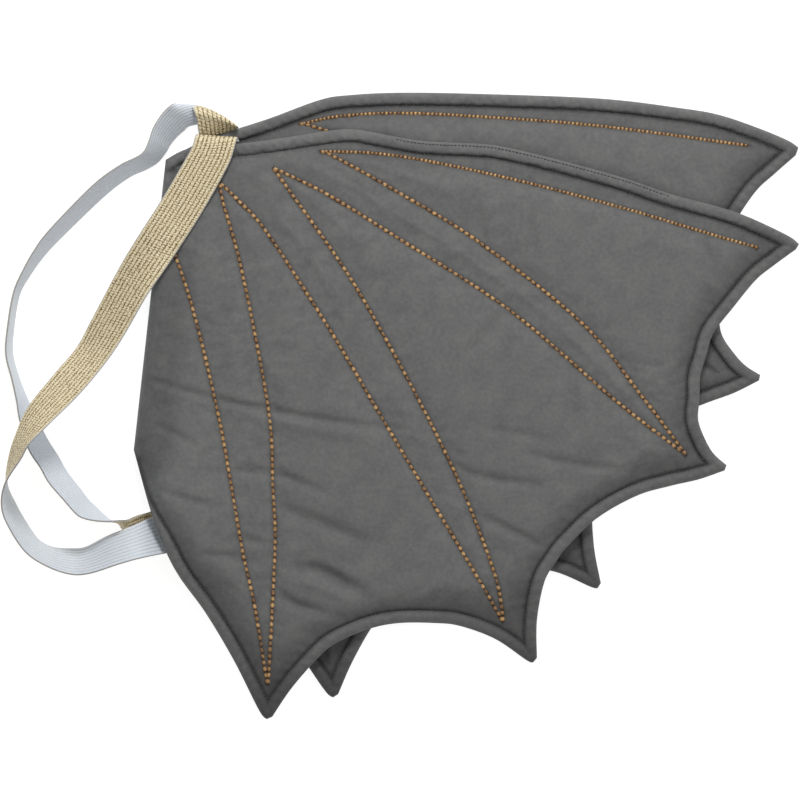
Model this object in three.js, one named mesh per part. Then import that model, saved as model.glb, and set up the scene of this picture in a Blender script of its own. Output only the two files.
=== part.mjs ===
// A child's dragon wings, folded in two along the spine and lying flat.
// One padded, quilted body makes both wings, and the fold is at -X. The upper wing lies on the
// lower one, which is turned a little further round, so that its tips show beyond the upper tips.
// Two elastic straps come out of the top seams and run round in loops to the foot of the spine.
import * as THREE from 'three';
import { ConvexHull } from 'three/addons/math/ConvexHull.js';

// Driving dimensions, in millimetres and degrees
const wingWidth = 399;            // spine foot to the top corner tip
const wingHeight = 353.4;         // top edge to the lowest tip
const lowerTurn = 7.9;            // how far the lower wing is turned from the upper one
const quiltThickness = 6.6;       // padding between the stitch lines
const stitchedThickness = 3.0;    // padding under the rim's topstitch
const boneThickness = 4.4;        // padding under a bone's stitching
const boneValley = 11;            // how far a bone's stitching pulls the padding in, each side
const rimWidth = 7.2;             // puffed rim outside the topstitch
const rimThickness = 4.8;
const rimValley = 12;             // how far the rim's topstitch pulls the padding in
const edgeThickness = 1.6;        // seam at the very edge
const layerGap = 0.3;             // clearance between pieces that touch
const droopRun = 34;              // where the upper wing comes down to the surface past the lower one
const hemLift = 15;               // rise of the upper wing where the straps go in under it
const hemLiftReach = 45;
const spineHold = 40;             // how far the fold holds the two halves together
const strapWidth = 25;
const strapThickness = 1.3;

// Mesh steps
const edgeStep = 9;
const boneStep = 10;
const gridStep = 11.5;
const strapSteps = 3;
const leastTriangle = 0.5;        // square millimetres, below which three points lie in line

const upperFloor = quiltThickness + layerGap;
const stackHeight = upperFloor + quiltThickness;

// Outline of a wing: across in shares of the wing's width from the spine's foot,
// up in shares of its height from the lowest tip. Each edge is one smooth curve.
const spineTop = { across: 0.048, up: 0.949 };
const spineFoot = { across: 0, up: 0.457 };
const outlineEdges = [
  {
    name: 'hem',
    points: [
      { across: 0.024, up: 0.360 }, { across: 0.045, up: 0.294 }, { across: 0.068, up: 0.243 },
      { across: 0.108, up: 0.180 }, { across: 0.150, up: 0.100 }, { across: 0.188, up: 0.015 },
      { across: 0.200, up: 0.000 },
    ],
  },
  {
    name: 'firstScallop',
    points: [
      { across: 0.208, up: 0.004 }, { across: 0.236, up: 0.051 }, { across: 0.271, up: 0.097 },
      { across: 0.301, up: 0.127 }, { across: 0.353, up: 0.153 }, { across: 0.398, up: 0.163 },
      { across: 0.451, up: 0.163 }, { across: 0.490, up: 0.158 }, { across: 0.543, up: 0.136 },
      { across: 0.590, up: 0.100 }, { across: 0.600, up: 0.096 },
    ],
  },
  {
    name: 'secondScallop',
    points: [
      { across: 0.606, up: 0.104 }, { across: 0.606, up: 0.168 }, { across: 0.617, up: 0.233 },
      { across: 0.635, up: 0.268 }, { across: 0.651, up: 0.292 }, { across: 0.696, up: 0.341 },
      { across: 0.756, up: 0.379 }, { across: 0.808, up: 0.396 }, { across: 0.850, up: 0.407 },
      { across: 0.888, up: 0.422 },
    ],
  },
  {
    name: 'thirdScallop',
    points: [
      { across: 0.891, up: 0.431 }, { across: 0.872, up: 0.450 }, { across: 0.859, up: 0.474 },
      { across: 0.848, up: 0.508 }, { across: 0.850, up: 0.543 }, { across: 0.851, up: 0.581 },
      { across: 0.860, up: 0.616 }, { across: 0.871, up: 0.655 }, { across: 0.901, up: 0.699 },
      { across: 0.934, up: 0.744 }, { across: 0.961, up: 0.769 }, { across: 0.995, up: 0.797 },
    ],
  },
];
const upperTopEdge = [
  { across: 1.000, up: 0.806 }, { across: 0.979, up: 0.823 }, { across: 0.902, up: 0.861 },
  { across: 0.806, up: 0.891 }, { across: 0.737, up: 0.918 }, { across: 0.644, up: 0.947 },
  { across: 0.564, up: 0.969 }, { across: 0.520, up: 0.976 }, { across: 0.441, up: 0.980 },
  { across: 0.394, up: 0.988 }, { across: 0.334, up: 1.000 }, { across: 0.292, up: 0.998 },
  { across: 0.236, up: 0.988 },
  { across: 0.159, up: 0.976 }, { across: 0.086, up: 0.969 },
];
const turnCentre = { across: -0.047, up: 0.796 };

// The lower wing's top edge and top bone, which are in sight, as they lie
const lowerTopEdge = [
  { across: 0.999, up: 0.970 }, { across: 0.983, up: 0.982 }, { across: 0.941, up: 1.002 },
  { across: 0.881, up: 1.025 }, { across: 0.821, up: 1.037 }, { across: 0.701, up: 1.053 },
  { across: 0.520, up: 1.061 }, { across: 0.400, up: 1.063 }, { across: 0.325, up: 1.059 },
  { across: 0.280, up: 1.051 }, { across: 0.205, up: 1.020 }, { across: 0.156, up: 1.002 },
  { across: 0.107, up: 0.983 },
];
const lowerTopBone = [
  { across: 0.253, up: 1.010 }, { across: 0.310, up: 1.023 }, { across: 0.400, up: 1.028 },
  { across: 0.520, up: 1.022 }, { across: 0.701, up: 1.006 }, { across: 0.923, up: 0.973 },
];

// Where the lower wing's sewing differs from the upper one's, once turned: each row moves what is
// within its reach, which is a share of the wing's width
const lowerShifts = [
  { across: 0.200, up: 0.000, right: 0.005, rise: -0.009, reach: 0.10 },
  { across: 0.600, up: 0.100, right: 0.018, rise: 0.019, reach: 0.16 },
  { across: 0.889, up: 0.427, right: 0.015, rise: 0.004, reach: 0.12 },
  { across: 1.000, up: 0.806, right: 0.010, rise: -0.002, reach: 0.09 },
  { across: 0.280, up: 0.963, right: -0.009, rise: -0.002, reach: 0.05 },
];

// Stitched bones, a zigzag fan from the shoulder to the tips, in the same shares
const upperTopBone = [
  { across: 0.280, up: 0.963 }, { across: 0.391, up: 0.956 }, { across: 0.564, up: 0.917 },
  { across: 0.737, up: 0.866 }, { across: 0.874, up: 0.820 }, { across: 0.938, up: 0.800 },
];
const bones = [
  [
    { across: 0.301, up: 0.954 }, { across: 0.398, up: 0.893 }, { across: 0.520, up: 0.808 },
    { across: 0.674, up: 0.671 }, { across: 0.765, up: 0.545 }, { across: 0.830, up: 0.448 },
  ],
  [
    { across: 0.209, up: 0.935 }, { across: 0.289, up: 0.891 }, { across: 0.398, up: 0.815 },
    { across: 0.565, up: 0.693 }, { across: 0.719, up: 0.545 }, { across: 0.820, up: 0.458 },
  ],
  [
    { across: 0.239, up: 0.888 }, { across: 0.326, up: 0.747 }, { across: 0.412, up: 0.576 },
    { across: 0.489, up: 0.402 }, { across: 0.543, up: 0.243 }, { across: 0.555, up: 0.165 },
  ],
  [
    { across: 0.129, up: 0.910 }, { across: 0.202, up: 0.822 }, { across: 0.298, up: 0.654 },
    { across: 0.389, up: 0.480 }, { across: 0.511, up: 0.251 }, { across: 0.548, up: 0.175 },
  ],
  [
    { across: 0.135, up: 0.873 }, { across: 0.162, up: 0.762 }, { across: 0.202, up: 0.528 },
    { across: 0.209, up: 0.397 }, { across: 0.212, up: 0.285 }, { across: 0.202, up: 0.059 },
  ],
  [
    { across: 0.039, up: 0.852 }, { across: 0.083, up: 0.718 }, { across: 0.128, up: 0.511 },
    { across: 0.162, up: 0.294 }, { across: 0.182, up: 0.190 }, { across: 0.198, up: 0.075 },
  ],
];
const hemLiftCentre = { across: 0.047, up: 0.312 };

// Routes of the straps: the middle of the strap in the wing's shares, the plan direction of its
// width, how far its width leans out of the floor's plane, and the height of its lower edge in
// shares of the folded wings' height. A section cut at a slant is wide times the strap's width.
const upperStrapRoute = [
  { across: 0.128, up: 0.978, turn: 3, lean: 0, low: 0.54 },
  { across: 0.126, up: 0.984, turn: 0, lean: 0, low: 0.58 },
  { across: 0.125, up: 0.988, turn: -4, lean: 0, low: 0.77 },
  { across: 0.123, up: 0.983, turn: -7, lean: 0, low: 0.99 },
  { across: 0.119, up: 0.967, turn: -10, lean: 0, low: 1.05 },
  { across: 0.110, up: 0.944, turn: -20, lean: 0, low: 1.06 },
  { across: 0.074, up: 0.873, turn: -33, lean: 0, low: 1.05 },
  { across: 0.036, up: 0.806, turn: -31, lean: 3, low: 1.02 },
  { across: -0.002, up: 0.739, turn: -30, lean: 22, low: 0.58 },
  { across: -0.039, up: 0.664, turn: -28, lean: 28, low: 0.25 },
  { across: -0.065, up: 0.616, turn: -31, lean: 37, low: 0.18 },
  { across: -0.101, up: 0.567, turn: -42, lean: 38, low: 0.90 },
  { across: -0.141, up: 0.516, turn: -43, lean: 48, low: 1.84 },
  { across: -0.164, up: 0.477, turn: -29, lean: 65, low: 1.88 },
  { across: -0.177, up: 0.445, turn: -23, lean: 72, low: 1.36 },
  { across: -0.191, up: 0.402, turn: -8, lean: 90, low: 0.50 },
  { across: -0.188, up: 0.363, turn: 20, lean: 109, low: 0.10 },
  { across: -0.174, up: 0.329, turn: 30, lean: 114, low: 0.03 },
  { across: -0.153, up: 0.295, turn: 43, lean: 115, low: 0.03 },
  { across: -0.128, up: 0.277, turn: 65, lean: 118, low: 0.03 },
  { across: -0.095, up: 0.268, turn: 82, lean: 128, low: 0.03 },
  { across: -0.069, up: 0.270, turn: 94, lean: 131, low: 0.35 },
  { across: -0.029, up: 0.288, turn: 110, lean: 138, low: 1.09 },
  { across: 0.005, up: 0.301, turn: 108, lean: 144, low: 1.15 },
  { across: 0.036, up: 0.312, turn: 105, lean: 158, low: 0.42 },
  { across: 0.063, up: 0.319, turn: 101, lean: 170, low: 0.64 },
  { across: 0.087, up: 0.324, turn: 100, lean: 178, low: 0.71 },
  { across: 0.110, up: 0.329, turn: 100, lean: 180, low: 0.71 },
];
const lowerStrapRoute = [
  { across: 0.128, up: 0.992, turn: 18, lean: 0, low: 0.21, wide: 0.95 },
  { across: 0.126, up: 1.010, turn: -9, lean: 0, low: 0.55, wide: 1.02 },
  { across: 0.123, up: 1.018, turn: -20, lean: 0, low: 0.69, wide: 1.14 },
  { across: 0.120, up: 1.022, turn: -24, lean: 0, low: 0.42, wide: 1.19 },
  { across: 0.107, up: 1.025, turn: -27, lean: -8, low: 0.08, wide: 1.12 },
  { across: 0.090, up: 1.028, turn: -30, lean: -25, low: 0.03 },
  { across: 0.071, up: 1.024, turn: -45, lean: -47, low: 0.03 },
  { across: 0.061, up: 1.015, turn: -48, lean: -49, low: 0.03 },
  { across: 0.051, up: 1.003, turn: -48, lean: -52, low: 0.03 },
  { across: 0.042, up: 0.988, turn: -43, lean: -56, low: 0.03 },
  { across: 0.036, up: 0.972, turn: -35, lean: -61, low: 0.03 },
  { across: 0.026, up: 0.954, turn: -38, lean: -66, low: 0.03 },
  { across: 0.012, up: 0.943, turn: -52, lean: -69, low: 0.03 },
  { across: -0.014, up: 0.929, turn: -57, lean: -70, low: 0.03 },
  { across: -0.053, up: 0.896, turn: -48, lean: -69, low: 0.03 },
  { across: -0.118, up: 0.823, turn: -45, lean: -72, low: 0.03 },
  { across: -0.143, up: 0.789, turn: -38, lean: -76, low: 0.03 },
  { across: -0.162, up: 0.755, turn: -30, lean: -80, low: 0.03 },
  { across: -0.176, up: 0.722, turn: -20, lean: -83, low: 0.03 },
  { across: -0.184, up: 0.671, turn: -5, lean: -83, low: 0.03 },
  { across: -0.187, up: 0.621, turn: 3, lean: -82, low: 0.03 },
  { across: -0.177, up: 0.576, turn: 14, lean: -81, low: 0.03 },
  { across: -0.168, up: 0.542, turn: 20, lean: -76, low: 0.03 },
  { across: -0.160, up: 0.513, turn: 23, lean: -68, low: 0.03 },
  { across: -0.144, up: 0.467, turn: 28, lean: -60, low: 0.03 },
  { across: -0.126, up: 0.435, turn: 31, lean: -60, low: 0.03 },
  { across: -0.114, up: 0.411, turn: 34, lean: -60, low: 0.03 },
  { across: -0.093, up: 0.382, turn: 39, lean: -62, low: 0.03 },
  { across: -0.076, up: 0.359, turn: 47, lean: -64, low: 0.03 },
  { across: -0.065, up: 0.351, turn: 58, lean: -68, low: 0.03 },
  { across: -0.048, up: 0.342, turn: 74, lean: -80, low: 0.03 },
  { across: -0.034, up: 0.336, turn: 84, lean: -90, low: 0.03 },
  { across: -0.021, up: 0.333, turn: 92, lean: -97, low: 0.03 },
  { across: -0.005, up: 0.315, turn: 99, lean: -134, low: 0.03 },
  { across: 0.018, up: 0.314, turn: 103, lean: -172, low: 0.03 },
  { across: 0.042, up: 0.322, turn: 105, lean: -180, low: 0.12 },
  { across: 0.066, up: 0.328, turn: 104, lean: -180, low: 0.45 },
  { across: 0.088, up: 0.334, turn: 103, lean: -180, low: 0.56 },
  { across: 0.110, up: 0.339, turn: 103, lean: -180, low: 0.56 },
];

const place = (share) => new THREE.Vector2(share.across * wingWidth, share.up * wingHeight);

const pivot = place(turnCentre);
const asDrawn = (share) => place(share);

function turned(share) {
  const spot = place(share);
  const moved = spot.clone().rotateAround(pivot, THREE.MathUtils.degToRad(lowerTurn));
  for (const shift of lowerShifts) {
    const away = spot.distanceTo(place(shift)) / (shift.reach * wingWidth);
    const pull = place({ across: shift.right, up: shift.rise });
    moved.addScaledVector(pull, Math.exp(-(away ** 2)));
  }
  return moved;
}

const smoothStep = THREE.MathUtils.smoothstep;

// Points a fixed step apart along a smooth curve through the given ones
function alongCurve(points, step) {
  const curve = new THREE.SplineCurve(points);
  const count = Math.max(2, Math.round(curve.getLength() / step));
  return curve.getSpacedPoints(count);
}

function wingOutline(toPlan, topRow) {
  const top = place(spineTop);
  const foot = place(spineFoot);
  const ring = [top, ...alongCurve([top, foot], edgeStep).slice(1)];
  for (const edge of outlineEdges) {
    const knots = edge.points.map(toPlan);
    if (edge.name === 'hem') knots.unshift(foot);
    const line = alongCurve(knots, edgeStep);
    ring.push(...(edge.name === 'hem' ? line.slice(1) : line));
  }
  ring.push(...alongCurve([...topRow, spineTop].map(place), edgeStep));
  ring.pop();
  return ring;
}

function distanceToLine(point, line, closed) {
  let nearest = Infinity;
  const last = closed ? line.length : line.length - 1;
  for (let i = 0; i < last; i += 1) {
    const a = line[i];
    const b = line[(i + 1) % line.length];
    const dx = b.x - a.x;
    const dy = b.y - a.y;
    const along = ((point.x - a.x) * dx + (point.y - a.y) * dy) / (dx * dx + dy * dy);
    const t = Math.min(1, Math.max(0, along));
    nearest = Math.min(nearest, Math.hypot(point.x - a.x - t * dx, point.y - a.y - t * dy));
  }
  return nearest;
}

function isInside(point, ring) {
  let inside = false;
  for (let i = 0, j = ring.length - 1; i < ring.length; j = i, i += 1) {
    const a = ring[i];
    const b = ring[j];
    const crosses = (a.y > point.y) !== (b.y > point.y);
    if (crosses && point.x < a.x + ((b.x - a.x) * (point.y - a.y)) / (b.y - a.y)) inside = !inside;
  }
  return inside;
}

// The outline moved inwards, without the points that a sharp tip crowds together
function insetRing(ring, inset) {
  const moved = [];
  ring.forEach((point, i) => {
    const before = ring[(i + ring.length - 1) % ring.length];
    const after = ring[(i + 1) % ring.length];
    const run = after.clone().sub(before).normalize();
    const spot = new THREE.Vector2(point.x - run.y * inset, point.y + run.x * inset);
    const clear = distanceToLine(spot, ring, true) > inset * 0.93;
    const apart = moved.every((other) => other.distanceTo(spot) > edgeStep * 0.4);
    if (clear && apart && isInside(spot, ring)) moved.push(spot);
  });
  return moved;
}

// Delaunay triangles, as the lower hull of the points lifted on to a paraboloid
function triangulate(points, ring) {
  const lifted = points.map((p) => new THREE.Vector3(p.x, p.y, p.lengthSq() / wingWidth));
  const order = new Map(lifted.map((vector, i) => [vector, i]));
  const triangles = [];
  for (const face of new ConvexHull().setFromPoints(lifted).faces) {
    const corners = [face.edge.prev, face.edge, face.edge.next].map((e) => order.get(e.head().point));
    const middle = new THREE.Vector2();
    corners.forEach((corner) => middle.add(points[corner]));
    middle.divideScalar(3);
    const [a, b, c] = corners.map((corner) => points[corner]);
    const area = Math.abs(b.clone().sub(a).cross(c.clone().sub(a))) / 2;
    if (face.normal.z < 0 && area > leastTriangle && isInside(middle, ring)) {
      triangles.push(corners.reverse());
    }
  }
  return triangles;
}

// A closed padded sheet between an upper and a lower height over the same triangles
function paddedSheet(points, triangles, topHeight, bottomHeight) {
  const used = [...new Set(triangles.flat())];
  const slot = new Map(used.map((corner, i) => [corner, i]));
  const position = [];
  for (const height of [topHeight, bottomHeight]) {
    for (const corner of used) {
      const point = points[corner];
      position.push(point.x, point.y, height(point));
    }
  }
  const size = used.length;
  const open = new Map();
  const index = [];
  for (const triangle of triangles) {
    const [a, b, c] = triangle.map((corner) => slot.get(corner));
    index.push(a, b, c, c + size, b + size, a + size);
    for (const [from, to] of [[a, b], [b, c], [c, a]]) {
      if (!open.delete(`${to},${from}`)) open.set(`${from},${to}`, [from, to]);
    }
  }
  for (const [from, to] of open.values()) {
    index.push(from, from + size, to + size, from, to + size, to);
  }
  const geometry = new THREE.BufferGeometry();
  geometry.setAttribute('position', new THREE.Float32BufferAttribute(position, 3));
  geometry.setIndex(index);
  geometry.computeVertexNormals();
  return geometry;
}

// The crest of the padding between each two neighbouring bones
function crestLines(boneKnots) {
  return boneKnots.slice(1).map((knots, i) => {
    const between = knots.map((knot, k) => knot.clone().lerp(boneKnots[i][k], 0.5));
    return alongCurve(between, boneStep);
  });
}

// Plan points of one wing: rim rings, stitched bones and an even triangular grid between them
function wingPoints(ring, lines) {
  const points = [...ring, ...insetRing(ring, rimWidth / 2), ...insetRing(ring, rimWidth)];
  const clearOf = (spot, gap) => points.every((other) => other.distanceTo(spot) > gap);
  for (const spot of lines.flat()) {
    const deep = isInside(spot, ring) && distanceToLine(spot, ring, true) > rimWidth * 1.4;
    if (deep && clearOf(spot, boneStep * 0.45)) points.push(spot);
  }
  const box = new THREE.Box2().setFromPoints(ring);
  const rowStep = (gridStep * Math.sqrt(3)) / 2;
  let row = 0;
  for (let y = box.min.y; y < box.max.y; y += rowStep) {
    row += 1;
    for (let x = box.min.x + (row % 2) * (gridStep / 2); x < box.max.x; x += gridStep) {
      const spot = new THREE.Vector2(x, y);
      if (isInside(spot, ring) && clearOf(spot, gridStep * 0.55)) points.push(spot);
    }
  }
  return points;
}

function makeWing(toPlan, topRow, topBone, isLower, floorUnder) {
  const ring = wingOutline(toPlan, topRow);
  const boneKnots = [topBone.map(place), ...bones.map((bone) => bone.map(toPlan))];
  const boneLines = boneKnots.map((knots) => alongCurve(knots, boneStep));
  const spine = [place(spineTop), place(spineFoot)];
  const points = wingPoints(ring, [...boneLines, ...crestLines(boneKnots)]);

  // How far a point is from the seamed edge, which leaves out the spine fold
  const seam = ring.slice(ring.findIndex((p) => p.distanceTo(spine[1]) < 0.001));
  seam.push(ring[0]);

  const thickness = (point) => {
    const fromSeam = distanceToLine(point, seam, false);
    if (fromSeam < rimWidth) {
      const share = fromSeam / rimWidth;
      const puff = (rimThickness - stitchedThickness) * Math.sin(Math.PI * share);
      return edgeThickness + (stitchedThickness - edgeThickness) * Math.sqrt(share) + puff;
    }
    const fromBone = Math.min(...boneLines.map((line) => distanceToLine(point, line, false)));
    const boneFree = 1 - Math.exp(-((fromBone / boneValley) ** 2));
    const rimFree = 1 - Math.exp(-(((fromSeam - rimWidth) / rimValley) ** 2));
    const padding = boneThickness + (quiltThickness - boneThickness) * Math.sqrt(boneFree);
    return stitchedThickness + (padding - stitchedThickness) * Math.sqrt(rimFree);
  };

  // The fold is round: each half is a quarter of it
  const foldShare = (point) => {
    const fromSpine = Math.min(distanceToLine(point, spine, false), quiltThickness);
    const level = 1 - fromSpine / quiltThickness;
    return Math.sqrt(1 - level * level);
  };
  const nearSpine = (point) => distanceToLine(point, spine, false) < quiltThickness;
  const seamRise = (point) => {
    const share = Math.min(1, distanceToLine(point, seam, false) / (rimWidth / 2));
    return edgeThickness * 0.7 * (1 - share);
  };

  const upperTop = (point) => {
    const rounded = nearSpine(point) ? Math.max(edgeThickness, quiltThickness * foldShare(point)) : Infinity;
    return floorUnder(point) + seamRise(point) + Math.min(thickness(point), rounded);
  };
  const upperBottom = (point) => floorUnder(point) + seamRise(point);
  const lowerBottom = (point) => {
    if (!nearSpine(point)) return seamRise(point);
    const rounded = quiltThickness - Math.max(edgeThickness, quiltThickness * foldShare(point));
    return Math.max(rounded, seamRise(point));
  };
  const lowerTop = (point) => {
    if (nearSpine(point)) return quiltThickness;
    return seamRise(point) + thickness(point);
  };
  const triangles = triangulate(points, ring);
  const heights = isLower ? [lowerTop, lowerBottom] : [upperTop, upperBottom];
  return paddedSheet(points, triangles, ...heights);
}

// A flat strap that follows a route, turning and leaning as it goes
function makeStrap(route) {
  const middles = route.map((row) => {
    const lean = THREE.MathUtils.degToRad(row.lean);
    const halfRise = (strapWidth * Math.abs(Math.sin(lean)) + strapThickness * Math.abs(Math.cos(lean))) / 2;
    const plan = place(row);
    return new THREE.Vector3(plan.x, plan.y, row.low * stackHeight + halfRise);
  });
  const bends = route.map((row) => new THREE.Vector3(row.turn, row.lean, row.wide ?? 1));
  const path = new THREE.CatmullRomCurve3(middles, false, 'catmullrom', 0.5);
  const twist = new THREE.CatmullRomCurve3(bends, false, 'catmullrom', 0.5);
  const sections = (route.length - 1) * strapSteps;
  const position = [];
  const index = [];
  for (let i = 0; i <= sections; i += 1) {
    const t = i / sections;
    const middle = path.getPoint(t);
    const bend = twist.getPoint(t);
    const turn = THREE.MathUtils.degToRad(bend.x);
    const lean = THREE.MathUtils.degToRad(bend.y);
    const width = new THREE.Vector3(
      Math.cos(lean) * Math.cos(turn), Math.cos(lean) * Math.sin(turn), Math.sin(lean),
    );
    const normal = width.clone().cross(path.getTangent(t)).normalize();
    for (const [side, face] of [[-1, -1], [1, -1], [1, 1], [-1, 1]]) {
      const corner = middle.clone();
      corner.addScaledVector(width, (side * bend.z * strapWidth) / 2);
      corner.addScaledVector(normal, (face * strapThickness) / 2);
      position.push(corner.x, corner.y, corner.z);
    }
    if (i === sections) continue;
    for (let k = 0; k < 4; k += 1) {
      const here = i * 4 + k;
      const next = i * 4 + ((k + 1) % 4);
      index.push(here, next + 4, next, here, here + 4, next + 4);
    }
  }
  const end = sections * 4;
  index.push(0, 1, 2, 0, 2, 3, end + 2, end + 1, end, end + 3, end + 2, end);
  const geometry = new THREE.BufferGeometry();
  geometry.setAttribute('position', new THREE.Float32BufferAttribute(position, 3));
  geometry.setIndex(index);
  geometry.computeVertexNormals();
  return geometry;
}

// What the upper wing lies on: the lower wing, then the surface beyond it, with a rise over the straps
const lowerRing = wingOutline(turned, lowerTopEdge);
const spineLine = [place(spineTop), place(spineFoot)];
const liftCentre = place(hemLiftCentre);

function floorUnderUpper(point) {
  const past = isInside(point, lowerRing) ? 0 : distanceToLine(point, lowerRing, true);
  const resting = upperFloor - (upperFloor - layerGap) * smoothStep(past, 2, droopRun);
  const held = smoothStep(distanceToLine(point, spineLine, false), 0, spineHold);
  const rise = hemLift * Math.exp(-((point.distanceTo(liftCentre) / hemLiftReach) ** 2));
  const spineSide = THREE.MathUtils.lerp(upperFloor, resting, held);
  return spineSide + held * rise;
}

const greyCotton = { color: 0x7d7f83, roughness: 0.95, metalness: 0 };
const goldElastic = { color: 0xb9a05f, roughness: 0.45, metalness: 0.55 };

function piece(name, geometry, look) {
  const mesh = new THREE.Mesh(geometry, new THREE.MeshStandardMaterial(look));
  mesh.name = name;
  return mesh;
}

const wings = new THREE.Group();
wings.name = 'dragon_wings';
wings.add(
  piece('lower_wing', makeWing(turned, lowerTopEdge, lowerTopBone, true, () => 0), greyCotton),
  piece('upper_wing', makeWing(asDrawn, upperTopEdge, upperTopBone, false, floorUnderUpper), greyCotton),
  piece('lower_strap', makeStrap(lowerStrapRoute), goldElastic),
  piece('upper_strap', makeStrap(upperStrapRoute), goldElastic),
);

// The origin is the middle of the footprint, on the surface that the wings lie on
const bounds = new THREE.Box3().setFromObject(wings);
const middle = bounds.getCenter(new THREE.Vector3());
wings.position.set(-middle.x, -middle.y, -bounds.min.z);
wings.updateMatrixWorld(true);

export default wings;
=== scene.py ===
# Child's dragon wings, folded flat: quilted grey cotton with bronze stitched bones, a puffed rim,
# and two elastic straps that are gold on one face and pale on the other. Plan shapes are worked out
# in millimetres from the frame's own boxes, and turned into metres when a mesh is made.
import math
from collections import namedtuple

import bpy
import numpy as np
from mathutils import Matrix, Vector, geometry
from mathutils.kdtree import KDTree


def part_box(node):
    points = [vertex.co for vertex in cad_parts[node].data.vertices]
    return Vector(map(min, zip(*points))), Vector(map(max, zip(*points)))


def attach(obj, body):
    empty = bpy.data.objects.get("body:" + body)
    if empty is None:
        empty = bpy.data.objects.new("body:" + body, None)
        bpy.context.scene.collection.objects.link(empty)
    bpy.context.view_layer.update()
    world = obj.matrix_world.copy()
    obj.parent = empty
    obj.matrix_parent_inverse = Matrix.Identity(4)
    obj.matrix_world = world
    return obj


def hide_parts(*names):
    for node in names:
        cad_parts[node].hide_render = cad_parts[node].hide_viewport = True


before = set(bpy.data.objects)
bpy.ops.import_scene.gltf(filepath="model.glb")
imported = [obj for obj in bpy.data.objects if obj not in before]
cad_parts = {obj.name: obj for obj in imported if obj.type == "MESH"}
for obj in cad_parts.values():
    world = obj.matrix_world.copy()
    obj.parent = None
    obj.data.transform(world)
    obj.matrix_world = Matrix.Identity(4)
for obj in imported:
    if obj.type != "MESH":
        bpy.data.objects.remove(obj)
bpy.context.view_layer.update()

MM = 0.001
Share = namedtuple("Share", "across up")
Stop = namedtuple("Stop", "across up turn lean low wide", defaults=[1.0])
Shift = namedtuple("Shift", "across up right rise reach")
Fold = namedtuple("Fold", "line reach height")
Bow = namedtuple("Bow", "run reach right rise")
Stitch = namedtuple("Stitch", "pitch length width depth")
Light = namedtuple("Light", "name place size power")

# Sizes, in millimetres. The wing's width and height are the upper wing's box.
low_corner, high_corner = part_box("upper_wing")
ORIGIN = np.array([low_corner[0], low_corner[1]]) / MM
WING_WIDTH = (high_corner[0] - low_corner[0]) / MM
WING_HEIGHT = (high_corner[1] - low_corner[1]) / MM
QUILT = (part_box("lower_wing")[1][2]) / MM
LAYER_GAP = 0.3
UPPER_FLOOR = QUILT + LAYER_GAP
STACK = UPPER_FLOOR + QUILT
LOWER_TURN = 7.9
RIM = 7.2
RIM_CREST = 4.9
GROOVE = 2.3
RIM_REACH = 9.0
BONE_PINCH = 4.4
BONE_REACH = 9.0
EDGE = 1.6
DROOP_START, DROOP_END = 2.0, 34.0
HEM_LIFT, HEM_LIFT_REACH = 15.0, 45.0
SPINE_HOLD = 40.0
STRAP_WIDTH, STRAP_THICK = 25.0, 1.3
PLY_ROUNDING, PLY_EDGE, PLY_INSET = 0.6, 0.35, 0.3
GOLD_INNER, PALE_INNER = 0.1, 0.08
LEAST_CLOTH = 0.8
COVER_MARGIN = 2
STRAP_PRESS, STRAP_PRESS_GAP = 3, 0.1

# Mesh steps, and how far apart the points are kept
RING_STEP = 1.5
RING_INSETS = (RIM, 1.1, 2.3, 3.6, 5.0, 6.1, 6.7, 7.7, 8.4, 9.8)
RING_APART = 0.46
TRUE_INSET = 0.96
BONE_STEP = 2.0
BONE_OFFSETS = (0.0, -1.3, 1.3, -2.8, 2.8)
BONE_APART = 1.0
GRID_APART = 0.55
RIBBON_STEP, RIBBON_COLUMNS = 1.2, 96
UPPER_GRID, LOWER_GRID = 2.2, 3.2
PRESSING_PART = slice(3, 9)
SIM_FRAMES = 20
SIM_CAP = 1.0

# Outline, shared with the part: across in shares of the width, up in shares of the height
SPINE_TOP = Share(0.048, 0.949)
SPINE_FOOT = Share(0.0, 0.457)
HEM = [
    Share(0.024, 0.360), Share(0.045, 0.294), Share(0.068, 0.243), Share(0.108, 0.180),
    Share(0.150, 0.100), Share(0.188, 0.015), Share(0.200, 0.000),
]
FIRST_SCALLOP = [
    Share(0.208, 0.004), Share(0.236, 0.051), Share(0.271, 0.097), Share(0.301, 0.127),
    Share(0.353, 0.153), Share(0.398, 0.163), Share(0.451, 0.163), Share(0.490, 0.158),
    Share(0.543, 0.136), Share(0.590, 0.100), Share(0.600, 0.096),
]
SECOND_SCALLOP = [
    Share(0.606, 0.104), Share(0.606, 0.168), Share(0.617, 0.233), Share(0.635, 0.268),
    Share(0.651, 0.292), Share(0.696, 0.341), Share(0.756, 0.379), Share(0.808, 0.396),
    Share(0.850, 0.407), Share(0.888, 0.422),
]
THIRD_SCALLOP = [
    Share(0.891, 0.431), Share(0.872, 0.450), Share(0.859, 0.474), Share(0.848, 0.508),
    Share(0.850, 0.543), Share(0.851, 0.581), Share(0.860, 0.616), Share(0.871, 0.655),
    Share(0.901, 0.699), Share(0.934, 0.744), Share(0.961, 0.769), Share(0.995, 0.797),
]
UPPER_TOP_EDGE = [
    Share(1.000, 0.806), Share(0.979, 0.823), Share(0.902, 0.861), Share(0.806, 0.891),
    Share(0.737, 0.918), Share(0.644, 0.947), Share(0.564, 0.969), Share(0.520, 0.976),
    Share(0.441, 0.980), Share(0.394, 0.988), Share(0.334, 1.000), Share(0.292, 0.998),
    Share(0.236, 0.988), Share(0.159, 0.976), Share(0.086, 0.969),
]
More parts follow.
